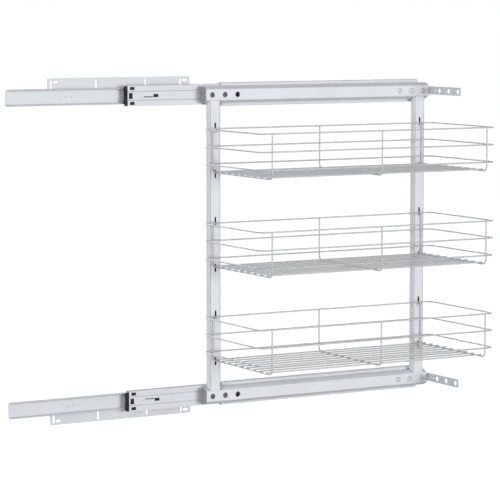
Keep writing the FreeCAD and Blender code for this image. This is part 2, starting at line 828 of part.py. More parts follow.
def save_pair(name, shape):
    """Writes a piece drawn about height zero for the upper slide and its mirror for the lower."""
    upper = at_slide(shape)
    save(name + "_upper", upper)
    save(name + "_lower", mirrored(upper))


os.makedirs("parts", exist_ok=True)

save_pair("wall_bracket", wall_bracket())
save_pair("cabinet_member", cabinet_member())
save_pair("cabinet_rivets", cabinet_rivets())
save_pair("middle_member", middle_member())
save_pair("end_bumper", end_bumper())
save_pair("release_lever", release_lever())
save_pair("lever_pivot", lever_pivot())
save_pair("inner_ball_cage", inner_ball_cage())
save_pair("outer_ball_cage", outer_ball_cage())
save_pair("inner_balls", balls(inner_cage_start, inner_row_depth, inner_row_height))
save_pair("outer_balls", balls(outer_cage_start, outer_row_depth, outer_row_height))
save_pair("frame_member", frame_member())
save_pair("rail", rail())
save_pair("rail_end_cap", rail_end_cap())
save_pair("joint_plates", joint_plates())
save_pair("joint_rivets", joint_rivets())
save_pair("frame_screws", frame_screws())
save_pair("filler_plate", filler_plate())
save_pair("door_bracket", door_bracket())
save_pair("door_bracket_screws", door_bracket_screws())
save("rear_stile", stile(stile_places[0]))
save("front_stile", stile(stile_places[1]))
for basket, rim in zip(basket_names, rim_heights):
    save(basket + "_rims", basket_rims(rim))
    save(basket + "_cross_wires", cross_wires(rim))
    save(basket + "_floor_wires", floor_wires(rim))
    save(basket + "_hooks", hooks(rim))
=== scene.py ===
import json
import math

import bmesh
import bpy
from mathutils import Euler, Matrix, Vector


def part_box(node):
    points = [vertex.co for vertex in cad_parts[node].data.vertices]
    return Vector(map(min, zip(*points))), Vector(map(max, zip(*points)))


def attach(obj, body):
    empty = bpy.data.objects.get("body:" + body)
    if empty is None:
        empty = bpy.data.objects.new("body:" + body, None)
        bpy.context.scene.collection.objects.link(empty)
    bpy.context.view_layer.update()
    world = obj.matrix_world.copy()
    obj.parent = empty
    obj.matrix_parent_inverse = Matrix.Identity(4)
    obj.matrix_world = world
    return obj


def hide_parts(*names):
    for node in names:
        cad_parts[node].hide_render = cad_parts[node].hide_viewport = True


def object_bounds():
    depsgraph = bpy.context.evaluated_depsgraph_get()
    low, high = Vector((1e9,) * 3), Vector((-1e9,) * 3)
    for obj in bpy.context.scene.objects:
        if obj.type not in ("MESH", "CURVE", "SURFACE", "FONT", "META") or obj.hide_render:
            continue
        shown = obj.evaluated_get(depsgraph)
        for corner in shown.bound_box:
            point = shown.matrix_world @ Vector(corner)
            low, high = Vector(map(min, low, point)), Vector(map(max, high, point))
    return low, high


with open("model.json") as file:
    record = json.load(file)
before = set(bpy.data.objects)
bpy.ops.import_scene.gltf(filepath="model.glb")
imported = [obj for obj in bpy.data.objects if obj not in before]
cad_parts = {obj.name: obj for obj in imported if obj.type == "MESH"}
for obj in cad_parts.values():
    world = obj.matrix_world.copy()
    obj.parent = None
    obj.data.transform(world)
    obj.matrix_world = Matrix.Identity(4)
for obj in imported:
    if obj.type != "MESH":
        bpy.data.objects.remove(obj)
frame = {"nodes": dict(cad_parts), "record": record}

bl_info = {
    "name": "Pull-out wire basket unit",
    "version": (1, 0, 0),
    "blender": (4, 5, 0),
    "location": "3D View > Sidebar > Pull-out",
    "description": "Dresses the pull-out frame, its slides and its wire baskets",
    "category": "Object",
}

MM = 0.001
SIDES = ("upper", "lower")
BASKETS = ("top_basket", "middle_basket", "bottom_basket")
CAD_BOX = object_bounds()
FLOOR_WIRE_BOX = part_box("top_basket_floor_wires")
WIRE_DIAMETER = FLOOR_WIRE_BOX[1].z - FLOOR_WIRE_BOX[0].z

# Patterns of the finishes, in steps per metre along X, Y and Z
ROLLING_LINES = (12, 900, 900)
ZINC_CLOUDS = (35, 35, 35)
COAT_CLOUDS = (20, 20, 20)
COAT_SKIN = (700, 700, 700)
DRAWING_MARKS = (900, 900, 900)
PLASTIC_CLOUDS = (90, 90, 90)
PLASTIC_GRAIN = (1600, 1600, 1600)
FLOOR_CLOUDS = (3, 3, 3)
PATTERN_RANGE = (0.3, 0.7)  # most values of a noise pattern lie between these

# Darkest and lightest shares of a finish's colour
ZINC_SHADES = (0.93, 1.05)
COAT_SHADES = (0.97, 1.03)
WIRE_SHADES = (0.95, 1.05)
PLASTIC_SHADES = (0.88, 1.12)
FLOOR_GREYS = (0.26, 0.28)

# Shares of the zinc colour for the brackets and for the screws in the rails' rear holes, darkened
# there as painted shade, and of the coat for the painted shade inside a tube and on its slots'
# edges
BRACKET_SHARE = 0.97
SCREW_PAINTED_SHADE_SHARE = 0.12
TUBE_PAINTED_SHADE_SHARE = 0.03

# Roughness: least and greatest, or how far it strays to both sides
ZINC_ROUGHNESS = (0.51, 0.59)
COAT_ROUGHNESS = (0.52, 0.58)
WIRE_STRAY = 0.04
PLASTIC_STRAY = 0.06
FLOOR_ROUGHNESS = 0.9

ZINC_METALLIC = 0.1
PLASTIC_SPECULAR = 0.2

# How deep the finishes' patterns are
ROLLING_DEPTH = 0.02 * MM
SKIN_DEPTH = 0.03 * MM
GRAIN_DEPTH = 0.04 * MM

# Meshes: when two points count as one, faces as flat, edges as sharp and bends as smooth
SAME_POINT = 1e-6
FLAT_ANGLE = math.radians(0.5)
EDGE_ANGLE = math.radians(40)
WIRE_SMOOTH_ANGLE = math.radians(50)
ROUND_SMOOTH_ANGLE = math.radians(60)
LARGE_FACE_WEIGHT = 100  # keeps large faces flat in shading beside their rounded edges
SORTING_DIGITS = 5
BEAD_SIDES, BEAD_STEPS = 14, 6
BALL_SIDES, BALL_STEPS = 18, 10

# Stage
WHITE = (1, 1, 1, 1)
FLOOR_REACH = 30.0
SENSOR_WIDTH = 36.0
VIEW_REACH = 100.0

WIRE_INPUTS = {"Centre lines": "Geometry", "Wire radius": "Float", "Bend radius": "Float",
               "Bend steps": "Int", "Wire sides": "Int", "Finish": "Material"}
REPEAT_INPUTS = {"Places": "Geometry", "Template": "Object", "Turn": "Vector",
                 "Finish": "Material"}


class WireSizes(bpy.types.PropertyGroup):
    """Sizes of the baskets' bent wires"""

    wire_diameter: bpy.props.FloatProperty(
        name="Wire diameter", description="Thickness of every basket wire",
        default=WIRE_DIAMETER, subtype="DISTANCE", unit="LENGTH")
    rim_bend: bpy.props.FloatProperty(
        name="Rim bend", description="Bend radius at the corners of the rim wires",
        default=12 * MM, subtype="DISTANCE", unit="LENGTH")
    cross_bend: bpy.props.FloatProperty(
        name="Cross wire bend", description="Bend radius at the foot of the cross wires",
        default=9 * MM, subtype="DISTANCE", unit="LENGTH")
    hook_bend: bpy.props.FloatProperty(
        name="Hook bend", description="Bend radius of the hooks",
        default=2 * MM, subtype="DISTANCE", unit="LENGTH")
    hook_front_leg: bpy.props.FloatProperty(
        name="Hook front leg", description="How far a hook's front leg hangs below its crossing",
        default=4.8 * MM, subtype="DISTANCE", unit="LENGTH")
    weld_length: bpy.props.FloatProperty(
        name="Weld length", description="Length of the flattened weld where two wires cross",
        default=3.0 * MM, subtype="DISTANCE", unit="LENGTH")
    weld_thickness: bpy.props.FloatProperty(
        name="Weld thickness", description="Thickness of that weld between the wires",
        default=1.2 * MM, subtype="DISTANCE", unit="LENGTH")
    wire_sides: bpy.props.IntProperty(
        name="Wire sides", description="Faces round a wire", default=14, min=6, max=32)
    bend_steps: bpy.props.IntProperty(
        name="Bend steps", description="Steps in a wire's bend", default=9, min=3, max=24)


class EdgeSizes(bpy.types.PropertyGroup):
    """Rounding of edges, and how deep the painted shade inside the stiles lies"""

    sheet_edge: bpy.props.FloatProperty(
        name="Sheet edge", description="Rounding of a pressed sheet's cut edges",
        default=0.22 * MM, subtype="DISTANCE", unit="LENGTH")
    plate_edge: bpy.props.FloatProperty(
        name="Plate edge", description="Rounding of the brackets' and joint plates' edges",
        default=0.28 * MM, subtype="DISTANCE", unit="LENGTH")
    plastic_edge: bpy.props.FloatProperty(
        name="Plastic edge", description="Rounding of the moulded plastic pieces",
        default=0.35 * MM, subtype="DISTANCE", unit="LENGTH")
    fastener_edge: bpy.props.FloatProperty(
        name="Fastener edge", description="Rounding of the rivets, pivots and screws",
        default=0.25 * MM, subtype="DISTANCE", unit="LENGTH")
    cage_edge: bpy.props.FloatProperty(
        name="Cage edge", description="Rounding of the thin ball cages",
        default=0.0733 * MM, subtype="DISTANCE", unit="LENGTH")
    tube_wall: bpy.props.FloatProperty(
        name="Tube wall", description="How far the stile's dark inside lies below its faces",
        default=1.45 * MM, subtype="DISTANCE", unit="LENGTH")
    painted_shade_slot_skin: bpy.props.FloatProperty(
        name="Slot skin", description="How far the slots' dark edges lie below the front face",
        default=0.35 * MM, subtype="DISTANCE", unit="LENGTH")


class FinishColours(bpy.types.PropertyGroup):
    """Colours of the finishes"""

    zinc: bpy.props.FloatVectorProperty(
        name="Zinc", description="Zinc-plated steel of slides, brackets and fasteners",
        subtype="COLOR", size=3, default=(0.63, 0.655, 0.69), min=0, max=1)
    coat: bpy.props.FloatVectorProperty(
        name="Frame coat", description="Silver-white powder coat of the rails and stiles",
        subtype="COLOR", size=3, default=(0.76, 0.79, 0.83), min=0, max=1)
    wire: bpy.props.FloatVectorProperty(
        name="Wire plating", description="Bright plating of the basket wires",
        subtype="COLOR", size=3, default=(0.47, 0.475, 0.49), min=0, max=1)
    ball: bpy.props.FloatVectorProperty(
        name="Ball steel", description="Polished steel of the slides' balls",
        subtype="COLOR", size=3, default=(0.75, 0.75, 0.76), min=0, max=1)
    cap_grey: bpy.props.FloatVectorProperty(
        name="Grey plastic", description="Rail end caps",
        subtype="COLOR", size=3, default=(0.28, 0.29, 0.3), min=0, max=1)
    filler_grey: bpy.props.FloatVectorProperty(
        name="Filler plastic", description="Filler plates inside the rails",
        subtype="COLOR", size=3, default=(0.1, 0.1, 0.11), min=0, max=1)
    black: bpy.props.FloatVectorProperty(
        name="Black plastic", description="Bumpers and release levers",
        subtype="COLOR", size=3, default=(0.008, 0.008, 0.009), min=0, max=1)


class StageSettings(bpy.types.PropertyGroup):
    """Floor, light and camera"""

    floor_drop: bpy.props.FloatProperty(
        name="Floor drop", description="How far the floor is below the lowest piece",
        default=1.2, subtype="DISTANCE", unit="LENGTH")
    floor_glow: bpy.props.FloatProperty(
        name="Floor white", description="How white the floor near the unit is before it is lit",
        default=0.8, min=0, max=1)
    shadow_reach: bpy.props.FloatProperty(
        name="Shadow reach", description="How far from the unit the floor is plain white",
        default=4.0, subtype="DISTANCE", unit="LENGTH")
    key_power: bpy.props.FloatProperty(
        name="Key light", description="Power of the light at the front right",
        default=216.0, unit="POWER")
    key_turn: bpy.props.FloatProperty(
        name="Key turn", description="The key light's angle to the right of the wall's normal",
        default=math.radians(22), subtype="ANGLE", unit="ROTATION")
    key_lift: bpy.props.FloatProperty(
        name="Key lift", description="The key light's angle above the level",
        default=math.radians(3), subtype="ANGLE", unit="ROTATION")
    key_distance: bpy.props.FloatProperty(
        name="Key distance", description="From the unit's middle to the key light",
        default=6.5, subtype="DISTANCE", unit="LENGTH")
    key_size: bpy.props.FloatProperty(
        name="Key size", description="Side of the square key light",
        default=2.2, subtype="DISTANCE", unit="LENGTH")
    fill_power: bpy.props.FloatProperty(
        name="Fill light", description="Power of the wide light at the front left",
        default=500.0, unit="POWER")
    fill_turn: bpy.props.FloatProperty(
        name="Fill turn", description="The fill light's angle to the right of the wall's normal",
        default=math.radians(-60), subtype="ANGLE", unit="ROTATION")
    fill_lift: bpy.props.FloatProperty(
        name="Fill lift", description="The fill light's angle above the level",
        default=math.radians(5), subtype="ANGLE", unit="ROTATION")
    fill_distance: bpy.props.FloatProperty(
        name="Fill distance", description="From the unit's middle to the fill light",
        default=7.0, subtype="DISTANCE", unit="LENGTH")
    fill_size: bpy.props.FloatProperty(
        name="Fill size", description="Side of the square fill light",
        default=7.0, subtype="DISTANCE", unit="LENGTH")
    back_power: bpy.props.FloatProperty(
        name="Back light", description="Power of the light behind the unit",
        default=290.0, unit="POWER")
    back_turn: bpy.props.FloatProperty(
        name="Back turn", description="The back light's angle to the right of the wall's normal",
        default=math.radians(175), subtype="ANGLE", unit="ROTATION")
    back_lift: bpy.props.FloatProperty(
        name="Back lift", description="The back light's angle above the level",
        default=math.radians(20), subtype="ANGLE", unit="ROTATION")
    back_distance: bpy.props.FloatProperty(
        name="Back distance", description="From the unit's middle to the back light",
        default=6.5, subtype="DISTANCE", unit="LENGTH")
    back_size: bpy.props.FloatProperty(
        name="Back size", description="Side of the square back light",
        default=4.0, subtype="DISTANCE", unit="LENGTH")
    sky: bpy.props.FloatProperty(
        name="Room light", description="Strength of the even light all round", default=0.09)
    camera_place: bpy.props.FloatVectorProperty(
        name="Camera place", description="Where the camera stands",
        subtype="TRANSLATION", unit="LENGTH", size=3, default=(-1.8186, -3.6238, 0.4056))
    camera_turn: bpy.props.FloatProperty(
        name="Camera turn", description="Turn to the right of the wall's normal",
        default=math.radians(29.695), subtype="ANGLE", unit="ROTATION")
    camera_dip: bpy.props.FloatProperty(
        name="Camera dip", description="Tilt below the level",
        default=math.radians(5.742), subtype="ANGLE", unit="ROTATION")
    camera_lens: bpy.props.FloatProperty(
        name="Focal length", description="Lens in millimetres on a 36 mm sensor", default=174.54)


def new_material(name):
    """An empty node material with a Principled shader; returns the material, tree and shader."""
    material = bpy.data.materials.new(name)
    if material.name != name:
        raise RuntimeError("the material name is taken: " + name)
    material.use_nodes = True
    tree = material.node_tree
    return material, tree, tree.nodes["Principled BSDF"]


def give(tree, socket, value):
    """Links a socket to an input, or sets the input to a constant."""
    if isinstance(value, bpy.types.NodeSocket):
        tree.links.new(value, socket)
    else:
        socket.default_value = value


def math_node(tree, kind, operation, *values):
    """The outputs of a math or vector math node on sockets or constants."""
    node = tree.nodes.new(kind)
    node.operation = operation
    for socket, value in zip(node.inputs, values):
        give(tree, socket, value)
    return node.outputs


def number(tree, operation, *values):
    """The result of a math node."""
    return math_node(tree, "ShaderNodeMath", operation, *values)["Value"]


def vector(tree, operation, *values):
    """The result of a vector math node."""
    return math_node(tree, "ShaderNodeVectorMath", operation, *values)["Vector"]


def mapped(tree, value, source, target):
    """A value moved from one range to another, and kept inside it."""
    node = tree.nodes.new("ShaderNodeMapRange")
    for name, end in zip(("From Min", "From Max", "To Min", "To Max"), (*source, *target)):
        node.inputs[name].default_value = end
    tree.links.new(value, node.inputs["Value"])
    return node.outputs["Result"]


def mixed(tree, factor, first, second):
    """A colour between two others."""
    node = tree.nodes.new("ShaderNodeMix")
    node.data_type = "RGBA"
    give(tree, node.inputs["A"], first)
    give(tree, node.inputs["B"], second)
    tree.links.new(factor, node.inputs["Factor"])
    return node.outputs["Result"]


def pattern_at(tree, stretch):
    """Object coordinates scaled along each axis, in pattern steps per metre."""
    place = tree.nodes.new("ShaderNodeTexCoord")
    mapping = tree.nodes.new("ShaderNodeMapping")
    mapping.inputs["Scale"].default_value = stretch
    tree.links.new(place.outputs["Object"], mapping.inputs["Vector"])
    return mapping.outputs["Vector"]


def noise(tree, stretch, detail=2.0, roughness=0.5):
    """A noise pattern's value."""
    node = tree.nodes.new("ShaderNodeTexNoise")
    node.inputs["Scale"].default_value = 1.0
    node.inputs["Detail"].default_value = detail
    node.inputs["Roughness"].default_value = roughness
    tree.links.new(pattern_at(tree, stretch), node.inputs["Vector"])
    return node.outputs["Fac"]


def scaled(colour, factor):
    """A colour made lighter or darker, with its alpha."""
    return (*(min(1.0, c * factor) for c in colour), 1)


def inside_box(tree, low, high):
    """1 inside a box on Object coordinates, 0 outside."""
    place = tree.nodes.new("ShaderNodeTexCoord")
    offset = vector(tree, "SUBTRACT", place.outputs["Object"], (low + high) / 2)
    past = vector(tree, "SUBTRACT", vector(tree, "ABSOLUTE", offset), (high - low) / 2)
    parts = tree.nodes.new("ShaderNodeSeparateXYZ")
    tree.links.new(past, parts.inputs["Vector"])
    widest = number(tree, "MAXIMUM", parts.outputs["X"], parts.outputs["Y"])
    furthest = number(tree, "MAXIMUM", widest, parts.outputs["Z"])
    return number(tree, "LESS_THAN", furthest, 0.0)


def tinted(tree, shader, colour, shades, pattern):
    """Varies the shader's colour by a pattern, between two shades."""
    factor = mapped(tree, pattern, PATTERN_RANGE, (0, 1))
    dark, light = (scaled(colour, shade) for shade in shades)
    tree.links.new(mixed(tree, factor, dark, light), shader.inputs["Base Color"])


def roughened(tree, shader, roughness, pattern):
    """Varies the shader's roughness by a pattern, between two values."""
    tree.links.new(mapped(tree, pattern, PATTERN_RANGE, roughness), shader.inputs["Roughness"])


def raised(tree, shader, depth, pattern):
    """Raises the surface by a pattern, by depth metres."""
    node = tree.nodes.new("ShaderNodeBump")
    node.inputs["Distance"].default_value = depth
    node.inputs["Strength"].default_value = 1.0
    tree.links.new(pattern, node.inputs["Height"])
    tree.links.new(node.outputs["Normal"], shader.inputs["Normal"])


def rolled_zinc(name, colour):
    """Zinc-plated rolled sheet: faint rolling lines along X and soft clouding."""
    material, tree, shader = new_material(name)
    rolling = noise(tree, ROLLING_LINES, detail=4.0, roughness=0.6)
    clouds = noise(tree, ZINC_CLOUDS)
    mean = number(tree, "MULTIPLY_ADD", rolling, 0.5, number(tree, "MULTIPLY", clouds, 0.5))
    tinted(tree, shader, colour, ZINC_SHADES, mean)
    roughened(tree, shader, ZINC_ROUGHNESS, mean)
    raised(tree, shader, ROLLING_DEPTH, rolling)
    shader.inputs["Metallic"].default_value = ZINC_METALLIC
    return material


def powder_coat(name, colour):
    """Satin powder coat with a fine orange-peel skin."""
    material, tree, shader = new_material(name)
    skin = noise(tree, COAT_SKIN)
    tinted(tree, shader, colour, COAT_SHADES, noise(tree, COAT_CLOUDS, detail=3.0))
    roughened(tree, shader, COAT_ROUGHNESS, skin)
    raised(tree, shader, SKIN_DEPTH, skin)
    return material


def stile_coat(name, colour, node):
    """The frame's powder coat, with painted shade on the tube's inside and on the slots' edges.
    """
    material = powder_coat(name, colour)
    tree = material.node_tree
    edges = bpy.context.scene.pullout_edges
    # Painted shade: inside this box, just within the tube's walls and open at both ends, the coat
    # turns almost black, also on the slots' cut edges.
    low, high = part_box(node)
    low = low + Vector((edges.tube_wall, edges.painted_shade_slot_skin, -edges.tube_wall))
    high = high - Vector((edges.tube_wall, edges.tube_wall, -edges.tube_wall))
    base = tree.nodes["Principled BSDF"].inputs["Base Color"]
    coat = base.links[0].from_socket
    dark = scaled(colour, TUBE_PAINTED_SHADE_SHARE)
    tree.links.new(mixed(tree, inside_box(tree, low, high), coat, dark), base)
    return material


def bright_wire(name, colour, metallic, roughness):
    """Bright plated drawn wire with faint drawing marks."""
    material, tree, shader = new_material(name)
    marks = noise(tree, DRAWING_MARKS)
    tinted(tree, shader, colour, WIRE_SHADES, marks)
    roughened(tree, shader, (roughness - WIRE_STRAY, roughness + WIRE_STRAY), marks)
    shader.inputs["Metallic"].default_value = metallic
    return material


def moulded_plastic(name, colour, roughness):
    """Moulded plastic with a fine eroded grain."""
    material, tree, shader = new_material(name)
    grain = noise(tree, PLASTIC_GRAIN)
    tinted(tree, shader, colour, PLASTIC_SHADES, noise(tree, PLASTIC_CLOUDS))
    roughened(tree, shader, (roughness - PLASTIC_STRAY, roughness + PLASTIC_STRAY), grain)
    raised(tree, shader, GRAIN_DEPTH, grain)
    shader.inputs["Specular IOR Level"].default_value = PLASTIC_SPECULAR
    return material


def finishes():
    """Makes every finish once and returns them by name."""
    colours = bpy.context.scene.pullout_colours
    makers = {
        "slide_zinc": lambda n: rolled_zinc(n, colours.zinc),
        "bracket_zinc": lambda n: rolled_zinc(n, colours.zinc * BRACKET_SHARE),
        "rail_coat": lambda n: powder_coat(n, colours.coat),
        "rear_stile_coat": lambda n: stile_coat(n, colours.coat, "rear_stile"),
        "front_stile_coat": lambda n: stile_coat(n, colours.coat, "front_stile"),
        "drawn_wire": lambda n: bright_wire(n, colours.wire, metallic=0.3, roughness=0.42),
        "polished_ball": lambda n: bright_wire(n, colours.ball, metallic=1.0, roughness=0.15),
        "fastener_zinc": lambda n: rolled_zinc(n, colours.zinc),
        # Painted shade: the screws in the rails' rear holes get the zinc darkened to a small
        # share, standing in for the shade in those holes.
        "fastener_dark": lambda n: rolled_zinc(n, colours.zinc * SCREW_PAINTED_SHADE_SHARE),
        "grey_cap": lambda n: moulded_plastic(n, colours.cap_grey, roughness=0.5),
        "grey_filler": lambda n: moulded_plastic(n, colours.filler_grey, roughness=0.55),
        "black_moulding": lambda n: moulded_plastic(n, colours.black, roughness=0.55),
    }
    if "slide_zinc" not in bpy.data.materials:
        for name, maker in makers.items():
            maker(name)
    return {name: bpy.data.materials[name] for name in makers}


def body_of(node):
    """The body that a CAD node rides on."""
    for body, nodes in frame["record"]["behaviour"]["bodies"].items():
        if node in nodes:
            return body
    raise RuntimeError("no body holds " + node)


def cad_mesh(node):
    """A CAD node's mesh as an editable copy, with its doubled points joined."""
    mesh = bmesh.new()
    mesh.from_mesh(frame["nodes"][node].data)
    bmesh.ops.remove_doubles(mesh, verts=mesh.verts, dist=SAME_POINT)
    return mesh


def islands(node):
    """Lowest and highest corners of each separate solid in a CAD node."""
    mesh = cad_mesh(node)
    mesh.verts.ensure_lookup_table()
    reached = set()
    boxes = []
    for first in mesh.verts:
        if first.index in reached:
            continue
        stack = [first]
        reached.add(first.index)
        points = []
        while stack:
            vert = stack.pop()
            points.append(vert.co.copy())
            for edge in vert.link_edges:
                other = edge.other_vert(vert)
                if other.index not in reached:
                    reached.add(other.index)
                    stack.append(other)
        low = Vector([min(p[i] for p in points) for i in range(3)])
        high = Vector([max(p[i] for p in points) for i in range(3)])
        boxes.append((low, high))
    mesh.free()
    return sorted(boxes, key=lambda box: [round(place, SORTING_DIGITS) for place in box[0]])


def add_piece(name, mesh, material, nodes, slot_name, smooth=None, stands_for=True):
    """Links a finished mesh as a piece that stands for CAD nodes, or is added beside them."""
    mesh.name = name
    mesh.materials.clear()
    mesh.materials.append(material)
    if smooth:
        mesh.polygons.foreach_set("use_smooth", [True] * len(mesh.polygons))
        mesh.set_sharp_from_angle(angle=smooth)
    piece = bpy.data.objects.new(name, mesh)
    bpy.context.scene.collection.objects.link(piece)
    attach(piece, body_of(nodes[0]))
    if stands_for:
        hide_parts(*nodes)
    return piece


def new_holder(name, data):
    """A linked object that carries modifiers until its mesh is taken."""
    holder = bpy.data.objects.new(name, data)
    bpy.context.scene.collection.objects.link(holder)
    return holder


def evaluated_mesh(holder):
    """The plain mesh of a holder object with its modifiers applied; the holder is removed."""
    bpy.context.view_layer.update()
    graph = bpy.context.evaluated_depsgraph_get()
    mesh = bpy.data.meshes.new_from_object(holder.evaluated_get(graph))
    data = holder.data
    bpy.data.objects.remove(holder)
    if data.users == 0:
        bpy.data.meshes.remove(data)
    return mesh


def smooth_data(name, mesh):
    """Mesh data from an edited mesh, which is freed, with every face smooth."""
    data = bpy.data.meshes.new(name)
    mesh.to_mesh(data)
    mesh.free()
    data.polygons.foreach_set("use_smooth", [True] * len(data.polygons))
    return data


def rounded_copy(node, edge, material, slot_name, steps=2):
    """A CAD node's own shape with its sharp edges slightly rounded."""
    mesh = cad_mesh(node)
    bmesh.ops.dissolve_limit(mesh, angle_limit=FLAT_ANGLE, verts=mesh.verts, edges=mesh.edges)
    holder = new_holder(node + "_copy", smooth_data(node + "_copy", mesh))
    bevel = holder.modifiers.new("Edge", "BEVEL")
    bevel.width = edge
    bevel.segments = steps
    bevel.limit_method = "ANGLE"
    bevel.angle_limit = EDGE_ANGLE
    bevel.use_clamp_overlap = True
    level = holder.modifiers.new("Level", "WEIGHTED_NORMAL")
    level.weight = LARGE_FACE_WEIGHT
    finished = evaluated_mesh(holder)
    return add_piece(node + "_dressed", finished, material, [node], slot_name)


def dress(pieces, steps=2):
    """Rounds the named pieces at both slides; each has its edge, finish and slot."""
    made = finishes()
    for side in SIDES:
        for kind, edge, finish, slot_name in pieces:
            rounded_copy(f"{kind}_{side}", edge, made[finish], slot_name, steps)


def geometry_tree(name, inputs, fill):
    """A geometry tree, made once: fill adds its nodes, and what they make gets its finish."""
    if name in bpy.data.node_groups:
        return bpy.data.node_groups[name]
    tree = bpy.data.node_groups.new(name, "GeometryNodeTree")
    for label, kind in inputs.items():
        tree.interface.new_socket(label, in_out="INPUT", socket_type="NodeSocket" + kind)
    tree.interface.new_socket("Pieces", in_out="OUTPUT", socket_type="NodeSocketGeometry")
    link = tree.links.new
    given = tree.nodes.new("NodeGroupInput")
    real = tree.nodes.new("GeometryNodeRealizeInstances")
    finish = tree.nodes.new("GeometryNodeSetMaterial")
    result = tree.nodes.new("NodeGroupOutput")
    link(fill(tree, given.outputs), real.inputs["Geometry"])
    link(real.outputs["Geometry"], finish.inputs["Geometry"])
    link(given.outputs["Finish"], finish.inputs["Material"])
    link(finish.outputs["Geometry"], result.inputs["Pieces"])
    return tree


def sweep_wires(tree, given):
    """Bends each polygon line of the input and sweeps a circle along it."""
    link = tree.links.new
    lines = tree.nodes.new("GeometryNodeMeshToCurve")
    bend = tree.nodes.new("GeometryNodeFilletCurve")
    bend.mode = "POLY"
    circle = tree.nodes.new("GeometryNodeCurvePrimitiveCircle")
    sweep = tree.nodes.new("GeometryNodeCurveToMesh")
    sweep.inputs["Fill Caps"].default_value = True
    link(given["Centre lines"], lines.inputs["Mesh"])
    link(lines.outputs["Curve"], bend.inputs["Curve"])
    link(given["Bend radius"], bend.inputs["Radius"])
    link(given["Bend steps"], bend.inputs["Count"])
    link(given["Wire sides"], circle.inputs["Resolution"])
    link(given["Wire radius"], circle.inputs["Radius"])
    link(bend.outputs["Curve"], sweep.inputs["Curve"])
    link(circle.outputs["Curve"], sweep.inputs["Profile Curve"])
    return sweep.outputs["Mesh"]


def set_on_points(tree, given):
    """Sets a template piece, turned, on each point of the input."""
    link = tree.links.new
    template = tree.nodes.new("GeometryNodeObjectInfo")
    turn = tree.nodes.new("FunctionNodeEulerToRotation")
    place = tree.nodes.new("GeometryNodeInstanceOnPoints")
    link(given["Template"], template.inputs["Object"])
    link(given["Turn"], turn.inputs["Euler"])
    link(given["Places"], place.inputs["Points"])
    link(template.outputs["Geometry"], place.inputs["Instance"])
    link(turn.outputs["Rotation"], place.inputs["Rotation"])
    return place.outputs["Instances"]


def run_tree(tree, points, edges, values):
    """Runs a geometry tree on a holder with the points and edges; returns the plain mesh."""
    data = bpy.data.meshes.new("holder")
    data.from_pydata([tuple(p) for p in points], edges, [])
    holder = new_holder("holder", data)
    modifier = holder.modifiers.new("Tree", "NODES")
    modifier.node_group = tree
    names = {s.name: s.identifier for s in tree.interface.items_tree if s.in_out == "INPUT"}
    for name, value in values.items():
        modifier[names[name]] = value
    mesh = evaluated_mesh(holder)
    if not mesh.polygons:
        raise RuntimeError("a geometry tree made no faces")
    return mesh


def bent_wires(name, polylines, closed, bend, nodes):
    """Bent round wires along polygon lines, as one piece."""
    sizes = bpy.context.scene.pullout_wires
    material = finishes()["drawn_wire"]
    points = []
    edges = []
    for polyline in polylines:
        start = len(points)
        points += polyline
        edges += [(start + i, start + i + 1) for i in range(len(polyline) - 1)]
        if closed:
            edges.append((start + len(polyline) - 1, start))
    tree = geometry_tree("Bent wires", WIRE_INPUTS, sweep_wires)
    values = {"Wire radius": sizes.wire_diameter / 2, "Bend radius": bend,
              "Bend steps": sizes.bend_steps, "Wire sides": sizes.wire_sides, "Finish": material}
    mesh = run_tree(tree, points, edges, values)
    return add_piece(name, mesh, material, nodes, "basket_wire", WIRE_SMOOTH_ANGLE)


def bend_for_baskets(kind, piece, corners, bend, closed=False):
    """Bends one kind of wire for every basket; corners gives a wire's line from its box."""
    for basket in BASKETS:
        node = basket + kind
        lines = [corners(low, high) for low, high in islands(node)]
        bent_wires(basket + piece, lines, closed, bend, [node])


def turned(profile, sides):
    """A closed mesh turned about Z from (radius, height) pairs; the ends lie on the axis."""
    mesh = bmesh.new()
    rings = []
    for radius, height in profile:
        count = sides if radius else 1
        angles = [2 * math.pi * i / sides for i in range(count)]
        rings.append([mesh.verts.new((radius * math.cos(a), radius * math.sin(a), height))
                      for a in angles])
    for lower, upper in zip(rings, rings[1:]):
        for i in range(sides):
            j = (i + 1) % sides
            if len(lower) == 1:
                mesh.faces.new((lower[0], upper[j], upper[i]))
            elif len(upper) == 1:
                mesh.faces.new((lower[i], lower[j], upper[0]))
            else:
                mesh.faces.new((lower[i], lower[j], upper[j], upper[i]))
    bmesh.ops.recalc_face_normals(mesh, faces=mesh.faces)
    return mesh


def round_template(name, radius, half_height, sides, steps):
    """A ball or a flattened bead about Z, as an unlinked object that a tree repeats."""
    profile = [(0, -half_height)]
    for i in range(1, steps):
        angle = math.pi * i / steps
        profile.append((radius * math.sin(angle), -half_height * math.cos(angle)))
    profile.append((0, half_height))
    return bpy.data.objects.new(name, smooth_data(name, turned(profile, sides)))


def repeated(name, template, places, turn, material, nodes, slot_name, stands_for=True):
    """A template piece set at each place, as one piece."""
    tree = geometry_tree("Repeated pieces", REPEAT_INPUTS, set_on_points)
    values = {"Template": template, "Turn": turn, "Finish": material}
    mesh = run_tree(tree, places, [], values)
    data = template.data
    bpy.data.objects.remove(template)
    bpy.data.meshes.remove(data)
    return add_piece(name, mesh, material, nodes, slot_name, ROUND_SMOOTH_ANGLE, stands_for)


class BuildRims(bpy.types.Operator):
    """Bends the closed rim wires of every basket"""

    bl_idname = "pullout.rims"
    bl_label = "Rim wires"

    def execute(self, context):
        sizes = context.scene.pullout_wires
        half = Vector((1, 1, 1)) * sizes.wire_diameter / 2

        def corners(low, high):
            low = low + half
            high = high - half
            z = (low.z + high.z) / 2
            return [Vector((low.x, low.y, z)), Vector((high.x, low.y, z)),
                    Vector((high.x, high.y, z)), Vector((low.x, high.y, z))]

        bend_for_baskets("_rims", "_rim_wires", corners, sizes.rim_bend, closed=True)
        return {"FINISHED"}


